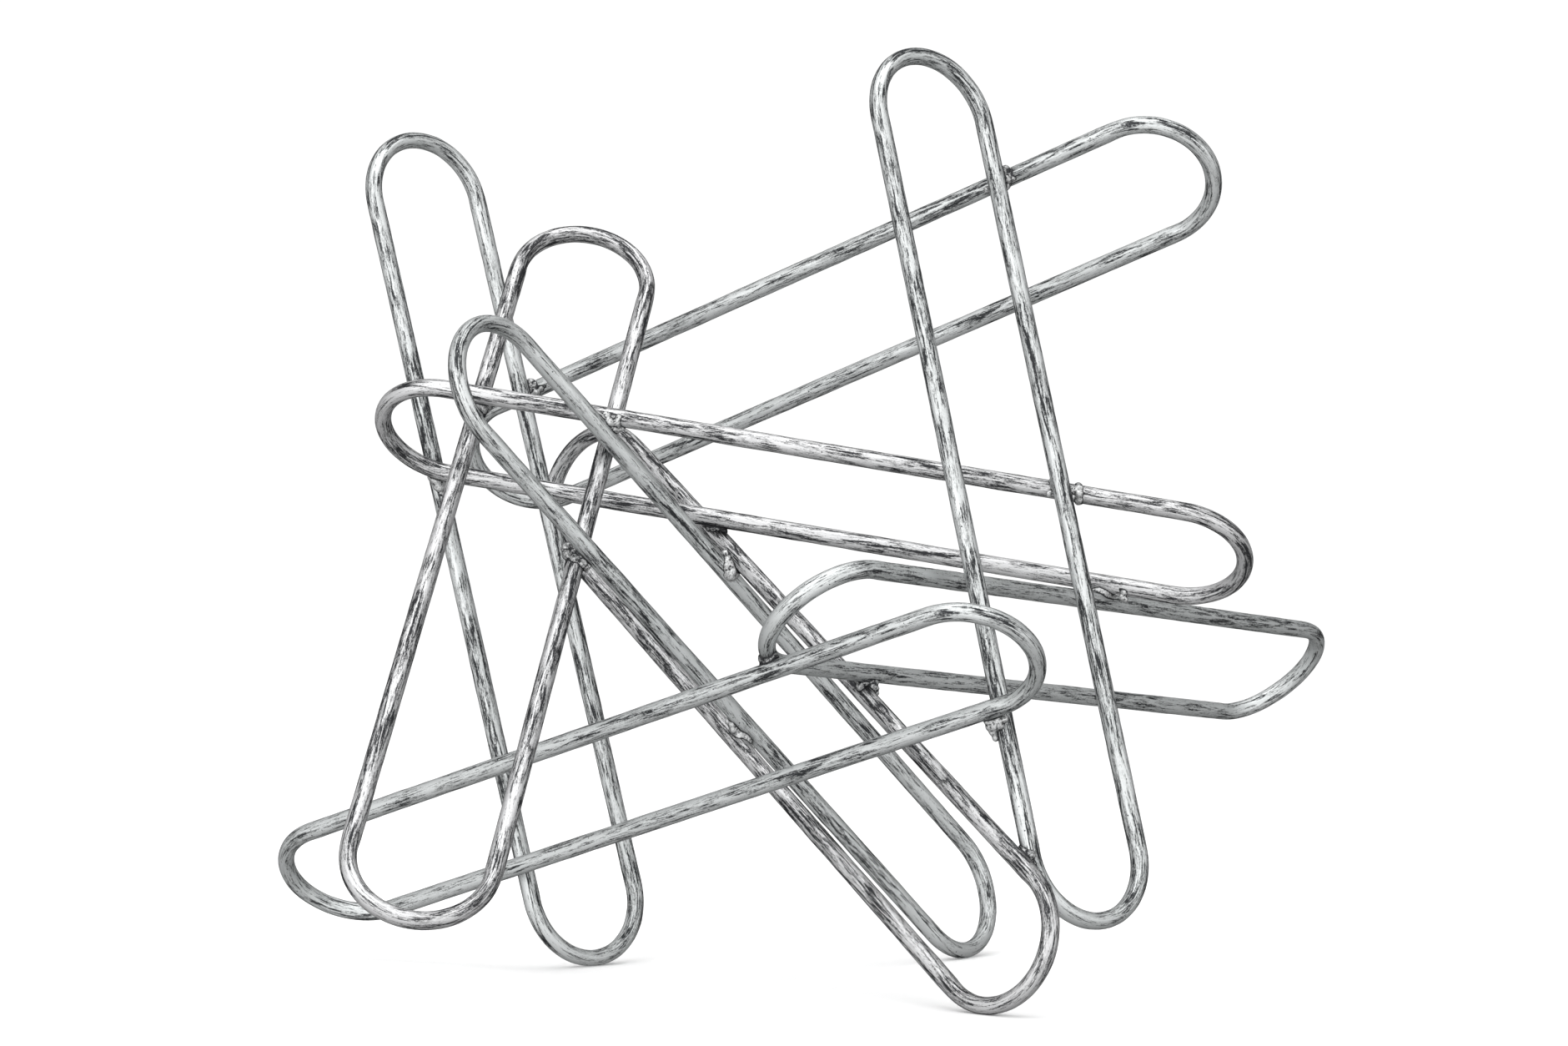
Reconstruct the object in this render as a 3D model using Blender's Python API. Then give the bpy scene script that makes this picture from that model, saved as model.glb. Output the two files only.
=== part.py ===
"""A table sculpture: nine equal long loops of round rod, leaned together and welded where they touch.

Metres, +Z up. Seen from the front, +X is to the right and +Y goes away from the viewer. The origin is
on the ground, under the middle of the whole work. It stands on three of the loops' lower bends.
"""

import math
from collections import namedtuple

import bmesh
import bpy
import numpy as np
from mathutils import Euler, Matrix, Quaternion, Vector

# The rod, and the loop that each length of it is bent to, measured over the outside
ROD_DIAMETER = 0.010
LOOP_LENGTH = 0.500
LOOP_WIDTH = 0.085

# Welds: how far the metal stands out past the rod's own radius, and how much longer it is than wide
WELD_THROAT = 0.0022
WELD_STRETCH = 1.3

# How deep the three lowest bends are ground flat, and the gap kept between pieces that touch
FOOT_FLAT = 0.0006
TOUCH_GAP = 0.0003
# The least gap between rods that pass each other without a weld
PASSING_GAP = 0.0006

# How finely round forms are drawn, and the angle in degrees above which an edge is drawn sharp
ROD_SIDES = 12
BEND_STEPS = 12
LUMP_SUBDIVISIONS = 2
SHARP_ANGLE = 40

# Points nearer than this are one point where a loop closes
SAME_POINT = 0.00001

ROD_RADIUS = ROD_DIAMETER / 2
# The rod's centreline: two straight legs and two half-round bends
BEND_RADIUS = (LOOP_WIDTH - ROD_DIAMETER) / 2
LEG = LOOP_LENGTH - ROD_DIAMETER - 2 * BEND_RADIUS
HALF_ROUND = math.pi * BEND_RADIUS
HALF_LOOP = LEG + HALF_ROUND

# The pose. A middle is (right, back, up) as shares of LOOP_LENGTH, so that the crossings keep their places
# along the loops. Angles are in degrees: slant turns the long axis up from the right as seen from
# the front, recede turns it away from the viewer, and roll turns the loop about its long axis.
Loop = namedtuple("Loop", "name middle slant recede roll")
LOOPS = (
    Loop("loop_tall_left", (-0.365, 0.165, 0.481), 103.6, 8.8, 43.1),
    Loop("loop_leaning", (-0.342, -0.125, 0.472), 77.1, 40.2, -0.6),
    Loop("loop_brace_back", (-0.097, 0.021, 0.366), 130.9, -24.7, 52.2),
    Loop("loop_brace_front", (-0.041, -0.044, 0.310), 134.2, 40.5, -19.1),
    Loop("loop_crossbar", (-0.014, 0.003, 0.541), -9.2, -6.4, 51.7),
    Loop("loop_low", (-0.192, -0.123, 0.236), 20.7, -29.0, 38.2),
    Loop("loop_tall_right", (0.199, -0.150, 0.557), 101.3, 14.3, 39.2),
    Loop("loop_top", (0.009, 0.147, 0.736), 23.1, -23.8, 30.6),
    Loop("loop_outer", (0.273, 0.061, 0.367), -9.0, 49.5, 40.2),
)
FEET = ("loop_tall_left", "loop_brace_back", "loop_brace_front")

# Where the second loop lies from the first, at a weld
BEHIND = Vector((0, 1, 0))
RIGHT = Vector((1, 0, 0))
LEFT = Vector((-1, 0, 0))
BELOW = Vector((0, 0, -1))
ABOVE = Vector((0, 0, 1))

# A weld's place is (right, up) as seen from the front, as shares of LOOP_LENGTH
Weld = namedtuple("Weld", "name first second side place")
WELDS = (
    Weld("weld_left_top", "loop_tall_left", "loop_top", BEHIND, (-0.34, 0.66)),
    Weld("weld_left_crossbar", "loop_crossbar", "loop_tall_left", BEHIND, (-0.44, 0.57)),
    Weld("weld_leaning_crossbar", "loop_crossbar", "loop_leaning", BEHIND, (-0.38, 0.64)),
    Weld("weld_leaning_brace", "loop_brace_back", "loop_leaning", LEFT, (-0.26, 0.48)),
    Weld("weld_crossbar_back", "loop_brace_back", "loop_crossbar", BEHIND, (-0.24, 0.62)),
    Weld("weld_crossbar_front", "loop_crossbar", "loop_brace_front", BEHIND, (-0.12, 0.51)),
    Weld("weld_braces_upper", "loop_brace_back", "loop_brace_front", RIGHT, (-0.10, 0.46)),
    Weld("weld_braces_lower", "loop_brace_back", "loop_brace_front", LEFT, (-0.08, 0.27)),
    Weld("weld_right_top", "loop_tall_right", "loop_top", BEHIND, (0.20, 0.89)),
    Weld("weld_right_crossbar", "loop_tall_right", "loop_crossbar", BEHIND, (0.26, 0.55)),
    Weld("weld_right_low", "loop_low", "loop_tall_right", BEHIND, (0.18, 0.31)),
    Weld("weld_right_front", "loop_brace_front", "loop_tall_right", RIGHT, (0.21, 0.16)),
    Weld("weld_outer_crossbar", "loop_crossbar", "loop_outer", BELOW, (0.31, 0.43)),
    Weld("weld_outer_front", "loop_outer", "loop_brace_front", BELOW, (0.05, 0.34)),
    Weld("weld_outer_low", "loop_low", "loop_outer", ABOVE, (-0.05, 0.36)),
)

# How the loops are brought together: points looked at along each, most rounds, the error that ends them,
# steps of one search, and the least sine squared between two rods that a step is worked out with
SEARCH_POINTS = 120
SETTLE_ROUNDS = 30
SETTLED = 1e-7
SEARCH_STEPS = 6
LEAST_CROSSING = 0.01
# Demands closer to each other than this share of the strongest count as one
ALIKE = 1e-6

# Linear colours of the aged silver and of the weld metal
SILVER = (0.46, 0.47, 0.47)
WELD_METAL = (0.36, 0.37, 0.37)


def clear_scene():
    for obj in list(bpy.data.objects):
        bpy.data.objects.remove(obj, do_unlink=True)


def metal(name, colour, roughness):
    material = bpy.data.materials.new(name)
    material.use_nodes = True
    shader = material.node_tree.nodes["Principled BSDF"]
    shader.inputs["Base Color"].default_value = (*colour, 1)
    shader.inputs["Metallic"].default_value = 1
    shader.inputs["Roughness"].default_value = roughness
    return material


def add_object(name, bm, material=None):
    mesh = bpy.data.meshes.new(name)
    bmesh.ops.recalc_face_normals(bm, faces=bm.faces)
    bm.to_mesh(mesh)
    bm.free()
    obj = bpy.data.objects.new(name, mesh)
    bpy.context.scene.collection.objects.link(obj)
    if material:
        mesh.materials.append(material)
        mesh.shade_smooth()
        mesh.set_sharp_from_angle(angle=math.radians(SHARP_ANGLE))
    return obj


def as_cutter(obj):
    obj.hide_render = True
    obj.display_type = "WIRE"
    return obj


# The centreline of a loop, in its own plane: x along the legs, z across them

def centreline(distance):
    """Point and direction at this distance along the loop."""
    distance %= 2 * HALF_LOOP
    if distance >= HALF_LOOP:
        point, direction = centreline(distance - HALF_LOOP)
        return -point, -direction
    if distance < LEG:
        return Vector((distance - LEG / 2, 0, BEND_RADIUS)), Vector((1, 0, 0))
    angle = (distance - LEG) / BEND_RADIUS
    point = Vector((LEG / 2 + BEND_RADIUS * math.sin(angle), 0, BEND_RADIUS * math.cos(angle)))
    return point, Vector((math.cos(angle), 0, -math.sin(angle)))


def turn_of(loop):
    """The loop's rotation: roll first, then recede, then slant."""
    return Euler((math.radians(loop.roll), -math.radians(loop.slant), math.radians(loop.recede)), "XZY")


class Placed:
    """A loop's centreline where it stands in the sculpture."""

    steps = [2 * HALF_LOOP * i / SEARCH_POINTS for i in range(SEARCH_POINTS)]
    own_points = np.array([centreline(step)[0] for step in steps])

    def __init__(self, loop):
        self.turn = turn_of(loop).to_quaternion()
        self.place = Vector(loop.middle) * LOOP_LENGTH
        self.points = self.placed_points()

    def at(self, distance):
        point, direction = centreline(distance)
        return self.place + self.turn @ point, self.turn @ direction

    def placed_points(self):
        return self.own_points @ np.array(self.turn.to_matrix()).T + np.array(self.place)

    def move(self, shift, turn):
        """Shift the loop, and turn it about its middle by a small rotation vector."""
        self.place += shift
        if turn.length:
            self.turn = Quaternion(turn.normalized(), turn.length) @ self.turn
        self.points = self.placed_points()


def closest(first, second, start, other_start):
    """The closest points of two centrelines near these two distances, each with its direction."""
    a, b = start, other_start
    longest_step = ROD_DIAMETER
    for _ in range(SEARCH_STEPS):
        p, t = first.at(a)
        q, w = second.at(b)
        across = q - p
        cosine = t.dot(w)
        spread = max(1 - cosine * cosine, LEAST_CROSSING)
        step_a = (across.dot(t) - cosine * across.dot(w)) / spread
        step_b = (cosine * across.dot(t) - across.dot(w)) / spread
        a += max(-longest_step, min(longest_step, step_a))
        b += max(-longest_step, min(longest_step, step_b))
    return first.at(a), second.at(b)


def passings(first, second, reach):
    """Each place where two loops pass each other closer than this, as ((point, direction), (point, direction))."""
    across = first.points[:, None, :] - second.points[None, :, :]
    away = np.sqrt((across**2).sum(axis=2))
    lowest = away < reach + LEG / SEARCH_POINTS
    for shift in ((1, 0), (-1, 0), (0, 1), (0, -1), (1, 1), (-1, -1), (1, -1), (-1, 1)):
        lowest &= away <= np.roll(away, shift, axis=(0, 1))
    found = []
    for i, j in zip(*np.nonzero(lowest)):
        pair = closest(first, second, first.steps[i], second.steps[j])
        if (pair[1][0] - pair[0][0]).length < reach:
            found.append(pair)
    return found


def weld_contact(weld, placed):
    """The two rods at a weld: their nearest points, and the direction from the first to the second."""
    first, second = placed[weld.first], placed[weld.second]
    target = Vector(weld.place) * LOOP_LENGTH
    reach = LOOP_WIDTH

    def from_target(pair):
        middle = (pair[0][0] + pair[1][0]) / 2
        return (Vector((middle.x, middle.z)) - target).length

    (p, t), (q, w) = min(passings(first, second, reach), key=from_target)
    normal = t.cross(w).normalized()
    if normal.dot(weld.side) < 0:
        normal = -normal
    return p, q, t, w, normal


def lowest_point(one):
    """The lowest point of a loop's centreline, on one of its bends."""
    nearest = one.steps[one.points[:, 2].argmin()]
    reach = 2 * HALF_LOOP / SEARCH_POINTS
    for _ in range(SEARCH_STEPS):
        nearest = min((nearest - reach, nearest, nearest + reach), key=lambda step: one.at(step)[0].z)
        reach /= 2
    return one.at(nearest)[0]


def settle(placed):
    """Shift and turn the loops by the least that makes welded rods touch, others clear and the feet level."""
    order = {name: i for i, name in enumerate(placed)}
    touching = ROD_DIAMETER + TOUCH_GAP
    passing = ROD_DIAMETER + PASSING_GAP
    foot_height = ROD_RADIUS - FOOT_FLAT
    # A loop's ends move this much for each unit of turn, so shifts and turns are weighed alike
    lever = LOOP_LENGTH / 2
    for _ in range(SETTLE_ROUNDS):
        rows = []
        wanted = []

        def demand(ends, direction, amount):
            """Ask that these points of loops move apart by this amount: the last one along direction."""
            row = np.zeros((len(order), 6))
            for sign, (name, point) in zip((1, -1), ends):
                turning = (point - placed[name].place).cross(direction) / lever
                row[order[name]] = sign * np.array((*direction, *turning))
            rows.append(row.ravel())
            wanted.append(amount)

        welded = []
        for weld in WELDS:
            p, q, _, _, normal = weld_contact(weld, placed)
            welded.append((p + q) / 2)
            demand(((weld.second, q), (weld.first, p)), normal, touching - (q - p).dot(normal))
        names = list(placed)
        for i, first in enumerate(names):
            for second in names[i + 1 :]:
                for (p, _), (q, _) in passings(placed[first], placed[second], passing):
                    if all(((p + q) / 2 - place).length > ROD_DIAMETER for place in welded):
                        apart = (q - p).length
                        demand(((second, q), (first, p)), (q - p) / apart, passing - apart)
        for name in FEET:
            lowest = lowest_point(placed[name])
            demand(((name, lowest),), Vector((0, 0, 1)), foot_height - lowest.z)
        if max(abs(amount) for amount in wanted) < SETTLED:
            break
        moves = np.linalg.lstsq(np.array(rows), np.array(wanted), rcond=ALIKE)[0].reshape(-1, 6)
        for one, move in zip(placed.values(), moves):
            one.move(Vector(move[:3]), Vector(move[3:]) / lever)


def centre(placed):
    """Bring the middle of the work over the origin."""
    points = np.concatenate([one.points for one in placed.values()])
    middle = (points.min(axis=0) + points.max(axis=0)) / 2
    for one in placed.values():
        one.move(Vector((-middle[0], -middle[1], 0)), Vector())


# The rod loops

def rod_loop(radius):
    """A closed loop of rod of this radius: a circle drawn along a leg, round a bend, back and round again."""
    bm = bmesh.new()
    at_bend = Matrix.Translation((LEG / 2, 0, BEND_RADIUS)) @ Matrix.Rotation(math.radians(90), 4, "Y")
    bmesh.ops.create_circle(bm, segments=ROD_SIDES, radius=radius, matrix=at_bend)
    edges = list(bm.edges)
    for end in (1, -1):
        spun = bmesh.ops.spin(
            bm, geom=edges, cent=(end * LEG / 2, 0, 0), axis=(0, 1, 0),
            angle=math.pi, steps=BEND_STEPS, use_duplicate=False)
        last = [item for item in spun["geom_last"] if isinstance(item, bmesh.types.BMEdge)]
        drawn = bmesh.ops.extrude_edge_only(bm, edges=last)["geom"]
        points = [item for item in drawn if isinstance(item, bmesh.types.BMVert)]
        bmesh.ops.translate(bm, verts=points, vec=(-end * LEG, 0, 0))
        edges = [item for item in drawn if isinstance(item, bmesh.types.BMEdge)]
    bmesh.ops.remove_doubles(bm, verts=bm.verts, dist=SAME_POINT)
    return bm


def place_loops(placed, material):
    """The nine loops, each with a hidden thicker copy that keeps the weld metal clear of the rod."""
    clear_radius = (ROD_RADIUS + TOUCH_GAP) / math.cos(math.pi / ROD_SIDES)
    loops = {}
    sheaths = {}
    for name, one in placed.items():
        loops[name] = add_object(name, rod_loop(ROD_RADIUS), material)
        sheaths[name] = as_cutter(add_object(name + "_sheath", rod_loop(clear_radius)))
        for obj in (loops[name], sheaths[name]):
            obj.location = one.place
            obj.rotation_mode = "QUATERNION"
            obj.rotation_quaternion = one.turn
    return loops, sheaths


def grind_feet(loops):
    """Cut the three feet flat at the ground."""
    bm = bmesh.new()
    bmesh.ops.create_cube(bm, size=2 * LOOP_LENGTH)
    ground = as_cutter(add_object("ground_cut", bm))
    ground.location = (0, 0, -LOOP_LENGTH)
    for name in FEET:
        cut = loops[name].modifiers.new("foot_flat", "BOOLEAN")
        cut.object = ground
        cut.operation = "DIFFERENCE"


# The welds

def weld_lump(radius):
    bm = bmesh.new()
    bmesh.ops.create_icosphere(bm, subdivisions=LUMP_SUBDIVISIONS, radius=radius)
    bmesh.ops.scale(bm, vec=(WELD_STRETCH, 1, 1), verts=bm.verts)
    return bm


def place_weld(weld, placed, sheaths, material):
    """A lump of weld metal in the corners between two rods, longest along the narrower corners."""
    p, q, t, w, normal = weld_contact(weld, placed)
    middle = (p + q) / 2
    long_way = (t + w if t.dot(w) > 0 else t - w).normalized()
    radius = ROD_RADIUS + WELD_THROAT
    obj = add_object(weld.name, weld_lump(radius), material)
    obj.location = middle
    obj.rotation_mode = "QUATERNION"
    side_way = normal.cross(long_way).normalized()
    obj.rotation_quaternion = Matrix((long_way, side_way, normal)).transposed().to_quaternion()
    reach = radius * WELD_STRETCH + ROD_DIAMETER
    for name, one in placed.items():
        away = np.sqrt(((one.points - np.array(middle)) ** 2).sum(axis=1)).min()
        if away < reach:
            cut = obj.modifiers.new("clear_of_" + name, "BOOLEAN")
            cut.object = sheaths[name]
            cut.operation = "DIFFERENCE"


def main():
    clear_scene()
    placed = {loop.name: Placed(loop) for loop in LOOPS}
    settle(placed)
    centre(placed)
    loops, sheaths = place_loops(placed, metal("aged_silver", SILVER, 0.35))
    grind_feet(loops)
    weld_material = metal("weld_metal", WELD_METAL, 0.45)
    for weld in WELDS:
        place_weld(weld, placed, sheaths, weld_material)


main()
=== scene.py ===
"""Dresses a table sculpture of nine bent rod loops, welded where they touch, in aged silver.

Each rod loop and each weld is made again in finer detail over its plain solid, in a pale studio.
"""

import math
from collections import namedtuple

import bmesh
import bpy
import numpy as np
from bpy.props import FloatProperty, FloatVectorProperty, IntProperty, PointerProperty
from mathutils import Matrix, Vector, noise


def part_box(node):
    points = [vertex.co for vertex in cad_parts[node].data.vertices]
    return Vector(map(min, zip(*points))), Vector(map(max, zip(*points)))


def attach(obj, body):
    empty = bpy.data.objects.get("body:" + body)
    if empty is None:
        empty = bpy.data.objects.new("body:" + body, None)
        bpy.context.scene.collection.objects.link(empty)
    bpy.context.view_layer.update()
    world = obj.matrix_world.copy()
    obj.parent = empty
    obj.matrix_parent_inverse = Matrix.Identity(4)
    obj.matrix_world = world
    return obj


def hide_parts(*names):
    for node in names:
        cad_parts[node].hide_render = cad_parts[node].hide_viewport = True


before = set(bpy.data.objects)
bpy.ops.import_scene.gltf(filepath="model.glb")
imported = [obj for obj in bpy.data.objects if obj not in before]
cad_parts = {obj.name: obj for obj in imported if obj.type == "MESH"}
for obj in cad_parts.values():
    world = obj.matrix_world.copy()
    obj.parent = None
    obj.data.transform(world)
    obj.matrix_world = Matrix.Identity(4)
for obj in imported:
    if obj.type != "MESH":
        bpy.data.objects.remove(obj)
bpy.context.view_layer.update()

bl_info = {
    "name": "Welded loop sculpture",
    "version": (1, 0, 0),
    "blender": (4, 5, 0),
    "location": "3D View > Sidebar > Sculpture",
    "description": "Rod loops and welds in aged silver, in a pale studio",
    "category": "Object",
}

MM = 0.001
LOOPS = sorted(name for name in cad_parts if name.startswith("loop_"))
WARM_LOOPS = ("loop_leaning", "loop_crossbar", "loop_brace_front")
# How much darker (above 0) or lighter (below 0) a loop is made than the others: partly more or less glaze, partly
# painted light and shade that evens out how the lamps fall on each loop
LOOP_GLAZE_AND_LIGHT = {
    "loop_leaning": 0.45, "loop_brace_front": 0.5, "loop_crossbar": 0.2, "loop_tall_right": 0.3,
    "loop_tall_left": 0.2, "loop_brace_back": -0.1, "loop_outer": -0.15, "loop_low": -0.2,
}


# Sizes read from the solids


class LoopFrame:
    """Where a loop lies: its middle, and its directions along the legs, out of its plane and across the legs."""

    def __init__(self, name):
        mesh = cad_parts[name].data
        mesh.calc_loop_triangles()
        points = np.array([vertex.co for vertex in mesh.vertices])
        corners = points[np.array([triangle.vertices for triangle in mesh.loop_triangles])]
        # The solid's middle and second moments, summed over the tetrahedra from the origin to each triangle
        volumes = np.linalg.det(corners) / 6
        sums = corners.sum(axis=1)
        middle = (volumes[:, None] * sums).sum(axis=0) / (4 * volumes.sum())
        moments = np.einsum("t,tij,tik->jk", volumes, corners, corners)
        moments += np.einsum("t,ti,tj->ij", volumes, sums, sums)
        moments = moments / 20 - volumes.sum() * np.outer(middle, middle)
        _, directions = np.linalg.eigh(moments)
        along = directions[:, 2] * np.sign(directions[np.abs(directions[:, 2]).argmax(), 2])
        across = directions[:, 1] * np.sign(directions[np.abs(directions[:, 1]).argmax(), 1])
        outward = np.cross(across, along)
        self.matrix = Matrix.Translation(Vector(middle)) @ Matrix((along, outward, across)).transposed().to_4x4()
        own = (points - middle) @ np.array((along, outward, across)).T
        self.length, self.rod, self.width = (own.max(axis=0) - own.min(axis=0)).tolist()


FRAMES = {name: LoopFrame(name) for name in LOOPS}
MEASURED = FRAMES["loop_crossbar"]


def colour(code):
    """The linear colour of an sRGB hex value."""
    parts = [int(code[i : i + 2], 16) / 255 for i in (1, 3, 5)]
    return (*(part / 12.92 if part <= 0.04045 else ((part + 0.055) / 1.055) ** 2.4 for part in parts), 1.0)


# Sizes and colours that a user would change


class RodSettings(bpy.types.PropertyGroup):
    diameter: FloatProperty(
        name="Rod diameter", description="Thickness of the round bar", default=round(MEASURED.rod, 4),
        unit="LENGTH")
    length: FloatProperty(
        name="Loop length", description="Length of a loop over its outside", default=round(MEASURED.length, 4),
        unit="LENGTH")
    width: FloatProperty(
        name="Loop width", description="Width of a loop over its outside", default=round(MEASURED.width, 4),
        unit="LENGTH")
    flattening: FloatProperty(
        name="Flattening", description="How much thinner the bar is across its bends", default=0.08,
        subtype="FACTOR", min=0, max=0.3)
    unevenness: FloatProperty(
        name="Unevenness", description="How far the bar's skin strays from round", default=0.00012, unit="LENGTH")
    sides: IntProperty(name="Sides", description="Faces round the bar", default=32, min=8)
    bend_rings: IntProperty(name="Bend rings", description="Rings of faces round each bend", default=40, min=8)
    leg_rings: IntProperty(name="Leg rings", description="Rings of faces along each leg", default=90, min=4)


class WeldSettings(bpy.types.PropertyGroup):
    grain: FloatProperty(
        name="Grain", description="Size of the faces that the beads are run together with", default=0.00045,
        unit="LENGTH")
    core: FloatProperty(
        name="Core", description="Radius of the metal between the two rods", default=0.0046, unit="LENGTH")
    # The dark line where a bead meets the bar is painted shade
    seam: FloatProperty(
        name="Seam", description="Width of the dark line where a bead meets the bar", default=0.0007,
        unit="LENGTH")
    roughness: FloatProperty(
        name="Lumpiness", description="Height of the small lumps in the beads", default=0.0004, unit="LENGTH")


class SilverSettings(bpy.types.PropertyGroup):
    bright: FloatVectorProperty(
        name="Rubbed silver", description="Silver where it is rubbed bright", subtype="COLOR", size=4,
        default=colour("#E6E7E7"))
    middle: FloatVectorProperty(
        name="Silver", description="Silver under a thin dark glaze", subtype="COLOR", size=4,
        default=colour("#BCBDBD"))
    dark: FloatVectorProperty(
        name="Glaze", description="Dark glaze left in the brush marks", subtype="COLOR", size=4,
        default=colour("#444547"))
    rim: FloatVectorProperty(
        name="Rim", description="What the glazed silver gives back at a glancing angle", subtype="COLOR", size=4,
        default=colour("#808080"))
    warm: FloatVectorProperty(
        name="Warm tint", description="Tint of the glaze on the leaning, crossbar and front brace loops",
        subtype="COLOR", size=4, default=colour("#FEFDFE"))
    cool: FloatVectorProperty(
        name="Cool tint", description="Tint of the other loops' glaze", subtype="COLOR", size=4,
        default=colour("#FCFEFE"))
    # Near a joint the rods are darkened, partly by glaze and partly by painted shade between the parts
    spread: FloatProperty(
        name="Joint glaze", description="How far from a joint the glaze is left dark", default=0.014,
        unit="LENGTH")
    streak_length: FloatProperty(
        name="Streak length", description="Length of the brush marks along the bar", default=0.016, unit="LENGTH")
    streak_width: FloatProperty(
        name="Streak width", description="Width of the brush marks", default=0.0012, unit="LENGTH")


class StudioSettings(bpy.types.PropertyGroup):
    floor_radius: FloatProperty(
        name="Floor radius", description="Radius of the round floor", default=4.0, unit="LENGTH")
    key: FloatProperty(
        name="Key light", description="Power of the light at the upper left", default=7.0, unit="POWER")
    top: FloatProperty(name="Top light", description="Power of the light overhead", default=16.0, unit="POWER")
    side: FloatProperty(
        name="Side light", description="Power of the light at the right", default=4.5, unit="POWER")
    front: FloatProperty(
        name="Front light", description="Power of the wide light behind the camera", default=17.0, unit="POWER")
    back: FloatProperty(
        name="Back light", description="Power of the light behind the work", default=4.0, unit="POWER")
    bright_side: FloatProperty(
        name="Bright side", description="Brightness that the metal reflects from the bright side of the room",
        default=1.0, min=0)
    dim_side: FloatProperty(
        name="Dim side", description="Brightness that the metal reflects from the dim side of the room",
        default=0.34, min=0)
    ground: FloatProperty(
        name="Background", description="Brightness of the white background", default=1.06, min=0)


# The joints. Each bead of weld metal is placed from the middle of its joint, in millimetres: to the right,
# up and towards the viewer, as seen from the front, with its radius. Glaze is how much darker a joint is made:
# partly glaze left there, partly painted shade between the parts

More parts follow.
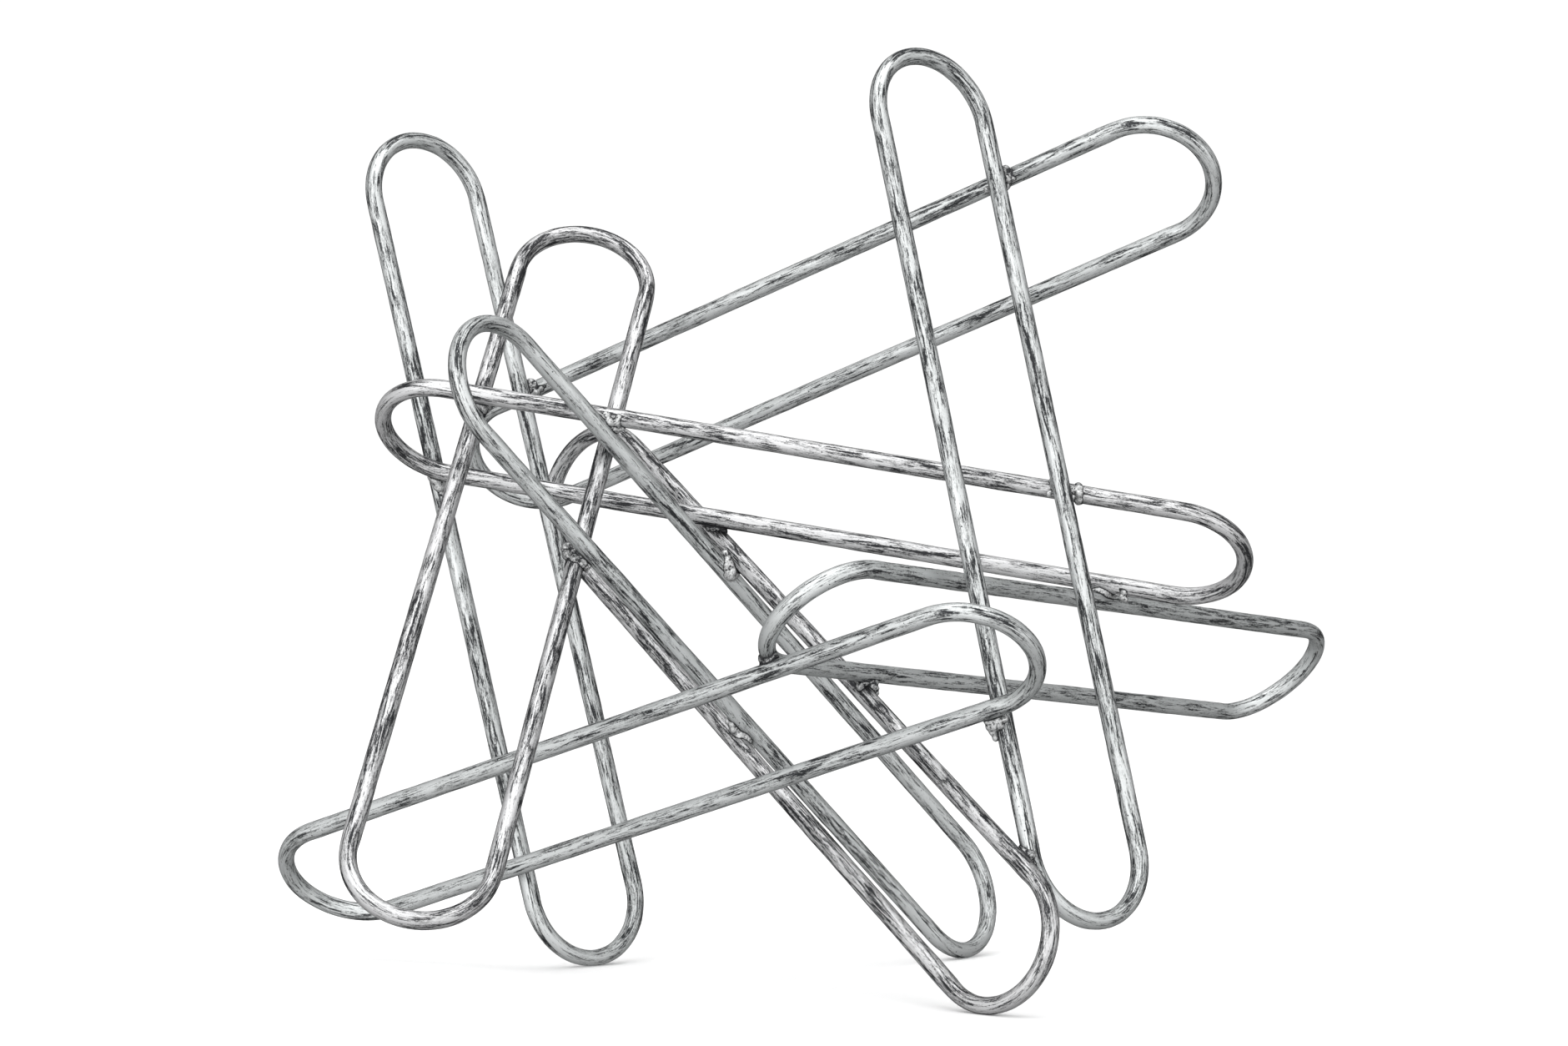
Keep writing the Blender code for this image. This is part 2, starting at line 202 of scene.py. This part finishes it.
Bead = namedtuple("Bead", "right up near radius")
Joint = namedtuple("Joint", "first second glaze beads")
JOINTS = {
    "weld_left_top": Joint("loop_tall_left", "loop_top", 0.4, (
        Bead(3.2, 3.5, -0.5, 3), Bead(3.8, -1, 0.5, 3), Bead(6.8, 3.6, 1, 2.6), Bead(7, 0, 1.6, 2.8),
        Bead(10, 2.2, 3, 2.4), Bead(12.2, 3.8, 3.8, 2), Bead(4, -4, -1, 2.6))),
    "weld_left_crossbar": Joint("loop_crossbar", "loop_tall_left", 0.1, (
        Bead(0, -4, 2, 3.8), Bead(1.5, -8, 1, 3.8), Bead(3, -12, 0, 2.8), Bead(5, -3, 2, 2.8),
        Bead(-2.5, -3, 1, 2.8))),
    "weld_leaning_crossbar": Joint("loop_crossbar", "loop_leaning", 0.5, (
        Bead(1.5, -3, 0, 3.2), Bead(2, -6.5, -1, 3.4), Bead(0.5, -9.5, -1, 2.6), Bead(4.5, -4, -2, 3.2),
        Bead(-1, 3, 2, 2.2))),
    "weld_leaning_brace": Joint("loop_brace_back", "loop_leaning", 0.6, (
        Bead(-4, -3, 2, 4.2), Bead(-8.5, 0.5, 0, 3.8), Bead(-0.5, -4.5, 3, 3.2), Bead(-7.5, -5.5, 1, 3.2),
        Bead(2, -6, 3, 2.4), Bead(-5, 2.5, 0, 3.2), Bead(-9, 3.5, -1, 3.6))),
    "weld_crossbar_back": Joint("loop_brace_back", "loop_crossbar", 0.2, (
        Bead(5, -1.5, 1.5, 3.6), Bead(6.5, -5, 0, 3.6), Bead(9, -4.4, -1.5, 3.2), Bead(9, -1, 0.8, 3),
        Bead(12, -3.8, -2, 2.4), Bead(3.5, 2.5, 1, 2.8), Bead(10.5, 1.8, 1.6, 2.1))),
    "weld_crossbar_front": Joint("loop_crossbar", "loop_brace_front", 1, (
        Bead(2, -3, 0, 2.6), Bead(-2.8, -2, 0, 2.4), Bead(4, -6, -1, 2.2))),
    "weld_braces_upper": Joint("loop_brace_back", "loop_brace_front", 0.15, (
        Bead(-2.2, 1.5, 2.6, 3.4), Bead(-1, -1.5, 3.2, 4.4), Bead(0.6, -5.4, 3.2, 4.8))),
    "weld_braces_lower": Joint("loop_brace_back", "loop_brace_front", 0, (
        Bead(-7, 8, 2, 3.2), Bead(-4.6, 4.2, 3, 3.4), Bead(-2, 0, 2.6, 3.4), Bead(1, -3.6, 2.4, 3.2),
        Bead(4, -7, 2.4, 2.8), Bead(-5.8, 6.6, 5, 2.4), Bead(-5.2, 3.4, 5.2, 2))),
    "weld_right_top": Joint("loop_tall_right", "loop_top", 0.5, (
        Bead(3.2, 1.8, 0, 2.8), Bead(4.8, 0, 0.8, 3.2), Bead(7, 3.2, 1.2, 2.4), Bead(7.8, 0.4, 2.2, 2.2),
        Bead(9.8, 4.8, 1.5, 1.8), Bead(4, -4, -0.5, 2.8), Bead(-6.5, -6, -3, 2.2))),
    "weld_right_crossbar": Joint("loop_tall_right", "loop_crossbar", 0.2, (
        Bead(5.4, -0.5, -0.5, 2.8), Bead(5.6, -4.5, -0.5, 2.6), Bead(9.6, 0.9, -3.6, 2.8),
        Bead(9.7, -0.1, -1, 2.8), Bead(9.8, -2.8, 0.2, 2.8), Bead(9.9, -5.4, -1, 2.8), Bead(10, -6.4, -3.6, 2.8),
        Bead(-6.5, -2.8, -1, 2))),
    "weld_right_low": Joint("loop_low", "loop_tall_right", 0.2, (
        Bead(-4.6, -6, 1, 2.9), Bead(-3.4, -9, 0.3, 2.9), Bead(-2, -12, 0, 2.6), Bead(-0.8, -14.8, -0.3, 2.2),
        Bead(0.5, -6, 2.6, 3), Bead(1.4, -8.6, 2.6, 2.5), Bead(-1, -9, 1.4, 3), Bead(3.6, -5, 2.8, 2.3))),
    "weld_right_front": Joint("loop_brace_front", "loop_tall_right", 0.7, (
        Bead(3, 2.3, 2.4, 3), Bead(4.7, -2.4, 1.4, 2), Bead(7.4, -7.4, 2, 2))),
    "weld_outer_crossbar": Joint("loop_crossbar", "loop_outer", 0.2, (
        Bead(2, 1.2, 0, 2.2), Bead(6, 0.6, -0.6, 2.4), Bead(10, 2.5, 4, 2.2), Bead(12, 0.5, 4.6, 2.4),
        Bead(11, -2.5, 4.6, 2.1), Bead(13, -3.8, 4.4, 1.8))),
    "weld_outer_front": Joint("loop_outer", "loop_brace_front", 0.6, (
        Bead(4, 0, 2.5, 2.6), Bead(5, -3, 2.5, 2.4), Bead(5, -6, 2.5, 2.2), Bead(7.2, -1, 2, 1.7),
        Bead(7.4, -4, 2, 1.7), Bead(7.6, -7, 1.5, 1.6))),
    "weld_outer_low": Joint("loop_low", "loop_outer", 1, (
        Bead(-3.7, 1.5, 1, 2), Bead(-4.3, 3.2, 0.5, 1.6), Bead(1, 2, 0, 2.8), Bead(3.5, 2, 0, 2.6))),
}
CENTRES = {name: (low + high) / 2 for name in JOINTS for low, high in (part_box(name),)}


# The rod loops


def line_of(rod):
    """A loop's centreline: the radius of its bends and the length of its straight legs."""
    bend = (rod.width - rod.diameter) / 2
    return bend, rod.length - rod.diameter - 2 * bend


def rod_loop(rod):
    """One loop of bar about the origin, x along the legs and z across them."""
    bend, leg = line_of(rod)
    bm = bmesh.new()
    start = Matrix.Translation((leg / 2, 0, bend)) @ Matrix.Rotation(math.radians(90), 4, "Y")
    bmesh.ops.create_circle(bm, segments=rod.sides, radius=rod.diameter / 2, matrix=start)
    ring = list(bm.edges)
    for end in (1, -1):
        spun = bmesh.ops.spin(
            bm, geom=ring, cent=(end * leg / 2, 0, 0), axis=(0, 1, 0), angle=math.pi, steps=rod.bend_rings,
            use_duplicate=False)
        ring = [item for item in spun["geom_last"] if isinstance(item, bmesh.types.BMEdge)]
        for _ in range(rod.leg_rings):
            drawn = bmesh.ops.extrude_edge_only(bm, edges=ring)["geom"]
            points = [item for item in drawn if isinstance(item, bmesh.types.BMVert)]
            bmesh.ops.translate(bm, verts=points, vec=(-end * leg / rod.leg_rings, 0, 0))
            ring = [item for item in drawn if isinstance(item, bmesh.types.BMEdge)]
    bmesh.ops.remove_doubles(bm, verts=bm.verts, dist=rod.diameter / 1000)
    bmesh.ops.recalc_face_normals(bm, faces=bm.faces)
    return bm


LUMP_SIZES = (9 * MM, 30 * MM)  # Of the slow swellings in the bar's skin


def hand_bend(bm, rod, seed):
    """Flatten the bar a little round its bends, make it slightly uneven, and note each point's place on the bar.

    line_place holds the place along the loop, as a point on a unit circle, and the side in millimetres.
    line_out holds how far out from the loop's middle line the point is, in millimetres.
    """
    bend, leg = line_of(rod)
    whole = 2 * (leg + math.pi * bend)
    line_place = bm.verts.layers.float_vector.new("line_place")
    line_out = bm.verts.layers.float.new("line_out")
    for vert in bm.verts:
        x, y, z = vert.co
        spine = max(-leg / 2, min(leg / 2, x))
        away = Vector((x - spine, 0, z))
        out = away.length - bend
        turned = math.atan2(abs(x) - abs(spine), abs(z))
        run = math.copysign(leg / 2 + bend * turned, x) if turned > 1e-6 else x
        distance = run if z >= 0 else whole / 2 - run
        angle = 2 * math.pi * distance / whole
        vert[line_place] = (math.cos(angle), math.sin(angle), y / MM)
        vert[line_out] = out / MM
        into_bend = min(1, max(0, (abs(x) - leg / 2) / rod.diameter + 0.5))
        share = rod.flattening * into_bend * into_bend * (3 - 2 * into_bend)
        lumps = noise.noise(vert.co / LUMP_SIZES[0] + Vector((seed, 0, 0)))
        lumps += noise.noise(vert.co / LUMP_SIZES[1] + Vector((0, seed, 0)))
        swell = 1 + lumps * rod.unevenness / (rod.diameter / 2)
        direction = away.normalized()
        vert.co = Vector((spine, 0, 0)) + direction * (bend + out * swell * (1 - share))
        vert.co.y = y * swell * (1 + share / 2)


def new_object(name, data):
    thing = bpy.data.objects.new(name, data)
    bpy.context.scene.collection.objects.link(thing)
    return thing


def mesh_from(bm, name):
    mesh = bpy.data.meshes.new(name)
    bm.to_mesh(mesh)
    bm.free()
    return mesh


def new_piece(mesh, material, slot, *nodes):
    """A finished piece at the origin, standing for this node of the solid model."""
    mesh.shade_smooth()
    mesh.materials.append(material)
    piece = new_object(mesh.name, mesh)
    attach(piece, "root")
    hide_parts(*nodes)


# The welds


CORE_STRETCH = (1.5, 1.1, 1)  # The core's shape: along the two rods, across them, and from one to the other
HIDDEN_BEAD = (1.3, 0.4, 0.6)  # A hidden bead: how far along, how far behind and how large, as shares of the core
MELT_ROUNDS = 16
FINE_LUMPS = (3, 1.3)  # Sizes of the small lumps, in millimetres
SEAM_SHADE_START = 1.3  # How much painted shade the seam gets at the bar; it fades to nothing over this many seam widths
HOLLOW_PAINTED_SHADE = (0.25, 8)  # Painted shade: how dark a flat place is made, and how much darker a hollow one
JOINT_GLAZE_AND_SHADE = 0.6  # How much a joint's darkening, part glaze and part painted shade between the parts, darkens its beads


def rod_near(loop, rod, point):
    """The nearest point of a loop's centreline to this point, and the bar's direction there."""
    bend, leg = line_of(rod)
    matrix = FRAMES[loop].matrix
    x, _, z = matrix.inverted() @ point
    spine = Vector((max(-leg / 2, min(leg / 2, x)), 0, 0))
    away = (Vector((x, 0, z)) - spine).normalized()
    direction = Vector((away.z, 0, -away.x))
    return matrix @ (spine + away * bend), (matrix.to_3x3() @ direction).normalized()


def bead_spheres(name, rod, weld):
    """The spheres that a weld is run together from."""
    joint = JOINTS[name]
    (p, t), (q, w) = (rod_near(loop, rod, CENTRES[name]) for loop in (joint.first, joint.second))
    middle = (p + q) / 2
    normal = (q - p).normalized()
    if t.dot(w) < 0:
        w = -w
    long_way = (t + w).normalized()
    bm = bmesh.new()
    lie = Matrix((long_way, normal.cross(long_way), normal)).transposed().to_4x4()
    core = Matrix.Translation(middle) @ lie @ Matrix.Diagonal((*CORE_STRETCH, 1))
    bmesh.ops.create_icosphere(bm, subdivisions=4, radius=weld.core, matrix=core)
    for bead in joint.beads:
        place = middle + Vector((bead.right, -bead.near, bead.up)) * MM
        bmesh.ops.create_icosphere(
            bm, subdivisions=3, radius=bead.radius * MM, matrix=Matrix.Translation(place))
    # Two more beads at the far ends of the core, mostly on the side that isn't seen
    along, behind, size = (share * weld.core for share in HIDDEN_BEAD)
    for end in (1, -1):
        place = middle + long_way * end * along + normal * behind
        bmesh.ops.create_icosphere(bm, subdivisions=3, radius=size, matrix=Matrix.Translation(place))
    return bm


def run_together(bm, name, rod, weld, seed):
    """Melt the spheres into one skin, with small lumps, and note each point's painted shade: darker the deeper it
    lies in a hollow and the nearer it lies to the bar, lighter on lumps, plus its joint's darkening.
    """
    joint = JOINTS[name]
    loose = mesh_from(bm, "loose_beads")
    helper = new_object("loose_beads", loose)
    skin = helper.modifiers.new("skin", "REMESH")
    skin.mode = "VOXEL"
    skin.voxel_size = weld.grain
    melt = helper.modifiers.new("melt", "SMOOTH")
    melt.factor = 0.5
    melt.iterations = MELT_ROUNDS
    graph = bpy.context.evaluated_depsgraph_get()
    mesh = bpy.data.meshes.new_from_object(helper.evaluated_get(graph))
    mesh.name = "beads_" + name.removeprefix("weld_")
    bpy.data.objects.remove(helper, do_unlink=True)
    bpy.data.meshes.remove(loose)
    bm = bmesh.new()
    bm.from_mesh(mesh)
    bm.normal_update()
    for vert in bm.verts:
        place = vert.co / MM + Vector((seed, 0, 0))
        lumps = noise.noise(place / FINE_LUMPS[0]) + 0.3 * noise.noise(place / FINE_LUMPS[1])
        vert.co += vert.normal * lumps * weld.roughness
    bm.normal_update()
    # Painted shade per point: darker in hollows and along the seam where a bead meets the bar, lighter on the
    # lumps, with the joint's darkening added
    crease = bm.verts.layers.float.new("crease")
    for vert in bm.verts:
        around = [edge.other_vert(vert).co for edge in vert.link_edges]
        mean = sum(around, Vector()) / len(around)
        hollow = (mean - vert.co).dot(vert.normal) / weld.grain
        above = min((vert.co - rod_near(loop, rod, vert.co)[0]).length for loop in (joint.first, joint.second))
        seam = SEAM_SHADE_START - (above - rod.diameter / 2) / weld.seam
        dark = max(HOLLOW_PAINTED_SHADE[0] + HOLLOW_PAINTED_SHADE[1] * hollow, seam)
        vert[crease] = max(0, min(1, dark)) + JOINT_GLAZE_AND_SHADE * joint.glaze
    bm.to_mesh(mesh)
    bm.free()
    return mesh


# Finishes


def add_node(tree, kind, links=None, **settings):
    """Add a node, with its settings and with values or sockets for its inputs."""
    node = tree.nodes.new("ShaderNode" + kind)
    for name, value in settings.items():
        setattr(node, name, value)
    for socket, value in (links or {}).items():
        if isinstance(value, bpy.types.NodeSocket):
            tree.links.new(value, node.inputs[socket])
        else:
            node.inputs[socket].default_value = value
    return node


def set_stops(ramp, stops):
    """Give a colour ramp these (place, colour) stops."""
    elements = ramp.color_ramp.elements
    while len(elements) < len(stops):
        elements.new(0.5)
    for element, (place, stop_colour) in zip(elements, stops):
        element.position = place
        element.color = stop_colour


def new_finish(name):
    material = bpy.data.materials.new(name)
    material.use_nodes = True
    tree = material.node_tree
    tree.nodes.clear()
    shader = add_node(tree, "BsdfPrincipled")
    output = add_node(tree, "OutputMaterial", {"Surface": shader.outputs["BSDF"]})
    output.is_active_output = True
    return material, tree, shader


def finish_metal(tree, shader, silver, links):
    """Link the shader's inputs, as a metal that gives back less at its rims."""
    for socket, value in links.items():
        tree.links.new(value, shader.inputs[socket])
    shader.inputs["Metallic"].default_value = 1.0
    shader.inputs["Specular Tint"].default_value = silver.rim


Streak = namedtuple("Streak", "length width detail weight")
BAND = Streak(35 * MM, 3.2 * MM, 2.0, 2.3)
CHIP = Streak(1.5 * MM, 0.6 * MM, 1.0, 0.9)
PART_SIZE = 100 * MM
PART_WEIGHT = 0.3
# Weight of the per-loop and per-joint darkening, part glaze and part painted light and shade
GLAZE_AND_LIGHT_WEIGHT = -0.24
GLAZE_LEVEL = -2.66  # Where the sum of the patterns starts, so that most of it is wiped silver
PIT_SPACING = 3.2 * MM


def glazed_silver(name, silver, tint, rod):
    """Silver leaf on mild steel bar, with a dark glaze brushed along it and wiped off the high places.

    The wiped silver gives a satin gleam, and the glaze left in the brush marks gives long charcoal streaks.
    """
    material, tree, shader = new_finish(name)
    bend, leg = line_of(rod)
    whole = 2 * (leg + math.pi * bend)
    line = add_node(tree, "Attribute", attribute_name="line_place")
    out = add_node(tree, "Attribute", attribute_name="line_out")
    place = add_node(tree, "TexCoord")

    def along_the_bar(streak):
        """Noise drawn out along the bar, in marks of this length and width."""
        turns = whole / (2 * math.pi * streak.length)
        across = MM / streak.width
        scaled = add_node(
            tree, "VectorMath", {0: line.outputs["Vector"], 1: (turns, turns, across)}, operation="MULTIPLY")
        w = add_node(tree, "Math", {0: out.outputs["Fac"], 1: across}, operation="MULTIPLY")
        return add_node(tree, "TexNoise", {
            "Vector": scaled.outputs[0], "W": w.outputs[0], "Scale": 1.0, "Detail": streak.detail,
            "Roughness": 0.65, "Distortion": 1.1}, noise_dimensions="4D").outputs["Fac"]

    # Brush marks about 1 mm wide, hair lines within them, bands of glaze a few millimetres wide, chips in the
    # leaf, whole parts of the work where more glaze was left, and darkening at the joints and on each loop, which
    # is partly glaze and partly painted light and shade
    mark = Streak(silver.streak_length, silver.streak_width, 3.0, 1.9)
    hair = Streak(silver.streak_length / 3, silver.streak_width / 2.5, 2.0, 1.0)
    patterns = [(along_the_bar(streak), streak.weight) for streak in (mark, hair, BAND, CHIP)]
    parts = add_node(
        tree, "TexNoise", {"Vector": place.outputs["Object"], "Scale": 1 / PART_SIZE, "Detail": 1.0})
    patterns.append((parts.outputs["Fac"], PART_WEIGHT))
    extra = add_node(tree, "Attribute", attribute_name="extra_glaze")
    patterns.append((extra.outputs["Fac"], GLAZE_AND_LIGHT_WEIGHT))
    wiped = GLAZE_LEVEL
    for pattern, weight in patterns:
        wiped = add_node(tree, "Math", {0: pattern, 1: weight, 2: wiped}, operation="MULTIPLY_ADD").outputs[0]
    tone = add_node(tree, "ValToRGB", {"Fac": wiped})
    set_stops(tone, ((0.2, silver.dark), (0.45, silver.middle), (0.7, silver.bright)))
    # Pits in the leaf, under a millimetre across and a few millimetres apart
    cells = add_node(tree, "TexVoronoi", {"Vector": place.outputs["Object"], "Scale": 1 / PIT_SPACING})
    chosen = add_node(tree, "SeparateColor", {"Color": cells.outputs["Color"]})
    wide = add_node(tree, "Math", {0: chosen.outputs[0], 1: 0.24, 2: -0.07}, operation="MULTIPLY_ADD")
    inside = add_node(tree, "Math", {0: wide.outputs[0], 1: cells.outputs["Distance"]}, operation="SUBTRACT")
    pit = add_node(tree, "Math", {0: inside.outputs[0], 1: 14.0}, operation="MULTIPLY", use_clamp=True)
    pitted = add_node(tree, "Mix", {0: pit.outputs[0], 6: tone.outputs["Color"], 7: silver.dark}, data_type="RGBA")
    tinted = add_node(
        tree, "Mix", {0: 1.0, 6: pitted.outputs[2], 7: tint}, data_type="RGBA", blend_type="MULTIPLY")
    rough = add_node(tree, "MapRange", {0: wiped, 1: 0.2, 2: 0.7, 3: 0.62, 4: 0.46})
    high = add_node(tree, "Math", {0: pit.outputs[0], 1: -2.0, 2: wiped}, operation="MULTIPLY_ADD")
    relief = add_node(tree, "Bump", {"Strength": 0.5, "Distance": 0.12 * MM, "Height": high.outputs[0]})
    links = {"Base Color": tinted.outputs[2], "Roughness": rough.outputs[0], "Normal": relief.outputs["Normal"]}
    finish_metal(tree, shader, silver, links)
    return material


SLAG_SIZE = 1.2 * MM  # Of the scale and slag on the beads


def glazed_weld(name, silver):
    """Steel weld metal under the same silver and glaze, with painted shade: lighter on its lumps, darker in its
    hollows and along the seam with the bar, plus its joint's darkening, part glaze and part painted shade.
    """
    material, tree, shader = new_finish(name)
    crease = add_node(tree, "Attribute", attribute_name="crease")
    place = add_node(tree, "TexCoord")
    slag = add_node(tree, "TexNoise", {
        "Vector": place.outputs["Object"], "Scale": 1 / SLAG_SIZE, "Detail": 3.0, "Roughness": 0.7}).outputs["Fac"]
    # The stored painted shade darkens the tone in hollows and at the seam
    low = add_node(tree, "Math", {0: crease.outputs["Fac"], 1: -0.8, 2: -0.1}, operation="MULTIPLY_ADD")
    wiped = add_node(tree, "Math", {0: slag, 1: 1.9, 2: low.outputs[0]}, operation="MULTIPLY_ADD")
    tone = add_node(tree, "ValToRGB", {"Fac": wiped.outputs[0]})
    set_stops(tone, ((0.25, silver.dark), (0.6, silver.middle), (0.95, silver.bright)))
    rough = add_node(tree, "MapRange", {0: wiped.outputs[0], 1: 0.25, 2: 0.95, 3: 0.6, 4: 0.38})
    relief = add_node(tree, "Bump", {"Strength": 0.8, "Distance": 0.25 * MM, "Height": slag})
    links = {
        "Base Color": tone.outputs["Color"], "Roughness": rough.outputs[0], "Normal": relief.outputs["Normal"]}
    finish_metal(tree, shader, silver, links)
    return material


def matt_paper(name):
    """White seamless studio paper: matt, with no gloss of its own."""
    material, tree, shader = new_finish(name)
    shader.inputs["Base Color"].default_value = colour("#FCFCFC")
    shader.inputs["Roughness"].default_value = 0.95
    shader.inputs["Specular IOR Level"].default_value = 0.1
    return material


# The studio. The camera stands where the photograph's did: level with the work's middle, 2.26 m in front

CAMERA_PLACE = (-0.0215, -2.2557, 0.2719)
CAMERA_TILT = (-0.49, -0.23, -0.02)
CAMERA_LENS = 92.9
LIT_POINT = (0, 0, 0.26)
BRIGHT_SIDE = (-0.32, -0.87, 0.38)  # The way from the work to the brightest side of the room
# Each light's place and its width and height
LIGHTS = {
    "key": ((-1.6, -1.8, 1.1), (1.4, 1.8)),
    "top": ((0, -0.4, 2.2), (2.4, 1.6)),
    "side": ((2.0, -1.1, 0.7), (0.9, 1.6)),
    "front": ((0, -3.2, 0.6), (6, 3)),
    "back": ((0.4, 1.7, 2.6), (2.0, 1.2)),
}


def soft_light(name, place, size, power):
    data = bpy.data.lights.new(name, "AREA")
    data.shape = "RECTANGLE"
    data.size, data.size_y = size
    data.energy = power
    lamp = new_object(name, data)
    lamp.visible_camera = False
    lamp.location = place
    lamp.rotation_euler = (Vector(LIT_POINT) - Vector(place)).to_track_quat("-Z", "Y").to_euler()


def white_room(studio):
    """The world: white to the camera, while the metal reflects a room with a bright side and a dim one."""
    world = bpy.data.worlds.new("white_room")
    world.use_nodes = True
    tree = world.node_tree
    tree.nodes.clear()
    way = add_node(tree, "TexCoord")
    toward = add_node(tree, "VectorMath", {0: way.outputs["Generated"], 1: BRIGHT_SIDE}, operation="DOT_PRODUCT")
    room = add_node(tree, "MapRange", {
        0: toward.outputs["Value"], 1: -0.6, 2: 0.9, 3: studio.dim_side, 4: studio.bright_side})
    ray = add_node(tree, "LightPath")
    strength = add_node(tree, "MapRange", {
        0: ray.outputs["Is Glossy Ray"], 1: 0.0, 2: 1.0, 3: studio.ground, 4: room.outputs[0]})
    ground = add_node(tree, "Background", {"Color": colour("#FFFFFF"), "Strength": strength.outputs[0]})
    add_node(tree, "OutputWorld", {"Surface": ground.outputs[0]})
    return world


class SCULPTURE_OT_rod_loops(bpy.types.Operator):
    """Make the nine loops of bar, in glazed silver"""

    bl_idname = "sculpture.rod_loops"
    bl_label = "Rod loops"

    def execute(self, context):
        rod = context.scene.sculpture_rod
        silver = context.scene.sculpture_silver
        cool = glazed_silver("glazed_silver_leaf", silver, silver.cool, rod)
        warm = glazed_silver("glazed_silver_leaf_warm", silver, silver.warm, rod)
        for seed, name in enumerate(LOOPS, 1):
            bm = rod_loop(rod)
            hand_bend(bm, rod, 7.3 * seed)
            bmesh.ops.transform(bm, matrix=FRAMES[name].matrix, verts=bm.verts)
            near = [(CENTRES[key], joint.glaze) for key, joint in JOINTS.items() if name in joint[:2]]
            # Darkening per point: the loop's own glaze and painted light, and near each joint glaze with painted
            # shade between the parts
            extra_glaze = bm.verts.layers.float.new("extra_glaze")
            for vert in bm.verts:
                # The feet are ground flat where they stand
                vert.co.z = max(vert.co.z, 0)
                vert[extra_glaze] = LOOP_GLAZE_AND_LIGHT.get(name, 0) + max(
                    glaze * max(0, min(1, (silver.spread - (vert.co - centre).length) / (silver.spread / 2)))
                    for centre, glaze in near)
            finish = warm if name in WARM_LOOPS else cool
            new_piece(mesh_from(bm, "rod_" + name.removeprefix("loop_")), finish, "aged_silver", name)
        return {"FINISHED"}


class SCULPTURE_OT_welds(bpy.types.Operator):
    """Run the weld beads together where the loops touch"""

    bl_idname = "sculpture.welds"
    bl_label = "Welds"

    def execute(self, context):
        rod = context.scene.sculpture_rod
        weld = context.scene.sculpture_weld
        finish = glazed_weld("glazed_silver_weld", context.scene.sculpture_silver)
        for seed, name in enumerate(JOINTS, 1):
            mesh = run_together(bead_spheres(name, rod, weld), name, rod, weld, 11.7 * seed)
            new_piece(mesh, finish, "weld_metal", name)
        return {"FINISHED"}


class SCULPTURE_OT_studio(bpy.types.Operator):
    """Set the floor, the lights and the camera"""

    bl_idname = "sculpture.studio"
    bl_label = "Studio"

    def execute(self, context):
        studio = context.scene.sculpture_studio
        bm = bmesh.new()
        bmesh.ops.create_circle(bm, cap_ends=True, segments=96, radius=studio.floor_radius)
        mesh = mesh_from(bm, "paper_floor")
        mesh.materials.append(matt_paper("matt_studio_paper"))
        floor = new_object("paper_floor", mesh)
        # The metal reflects the dim room and the lights, not the paper
        floor.visible_glossy = False

        for name, (place, size) in LIGHTS.items():
            soft_light(name + "_light", place, size, getattr(studio, name))
        context.scene.world = white_room(studio)
        context.scene.view_settings.view_transform = "Standard"

        data = bpy.data.cameras.new("camera")
        data.lens = CAMERA_LENS
        camera = new_object("camera", data)
        camera.location = CAMERA_PLACE
        tilt, roll, turn = (math.radians(angle) for angle in CAMERA_TILT)
        camera.rotation_euler = (math.radians(90) + tilt, roll, turn)
        context.scene.camera = camera
        return {"FINISHED"}


class SCULPTURE_PT_sculpture(bpy.types.Panel):
    """Lists the sculpture's sizes, colours and pieces"""

    bl_idname = "SCULPTURE_PT_sculpture"
    bl_label = "Welded loop sculpture"
    bl_space_type = "VIEW_3D"
    bl_region_type = "UI"
    bl_category = "Sculpture"

    def draw(self, context):
        for name, group in GROUPS.items():
            box = self.layout.box()
            settings = getattr(context.scene, name)
            for key in group.__annotations__:
                box.prop(settings, key)
        for operator in (SCULPTURE_OT_studio, SCULPTURE_OT_rod_loops, SCULPTURE_OT_welds):
            self.layout.operator(operator.bl_idname)


GROUPS = {
    "sculpture_rod": RodSettings,
    "sculpture_weld": WeldSettings,
    "sculpture_silver": SilverSettings,
    "sculpture_studio": StudioSettings,
}
CLASSES = (
    *GROUPS.values(),
    SCULPTURE_OT_rod_loops,
    SCULPTURE_OT_welds,
    SCULPTURE_OT_studio,
    SCULPTURE_PT_sculpture,
)


def register():
    for cls in CLASSES:
        bpy.utils.register_class(cls)
    for name, group in GROUPS.items():
        setattr(bpy.types.Scene, name, PointerProperty(type=group))


def unregister():
    for name in GROUPS:
        delattr(bpy.types.Scene, name)
    for cls in reversed(CLASSES):
        bpy.utils.unregister_class(cls)


def main():
    register()
    bpy.ops.sculpture.studio()
    bpy.ops.sculpture.rod_loops()
    bpy.ops.sculpture.welds()


if __name__ == "__main__":
    main()
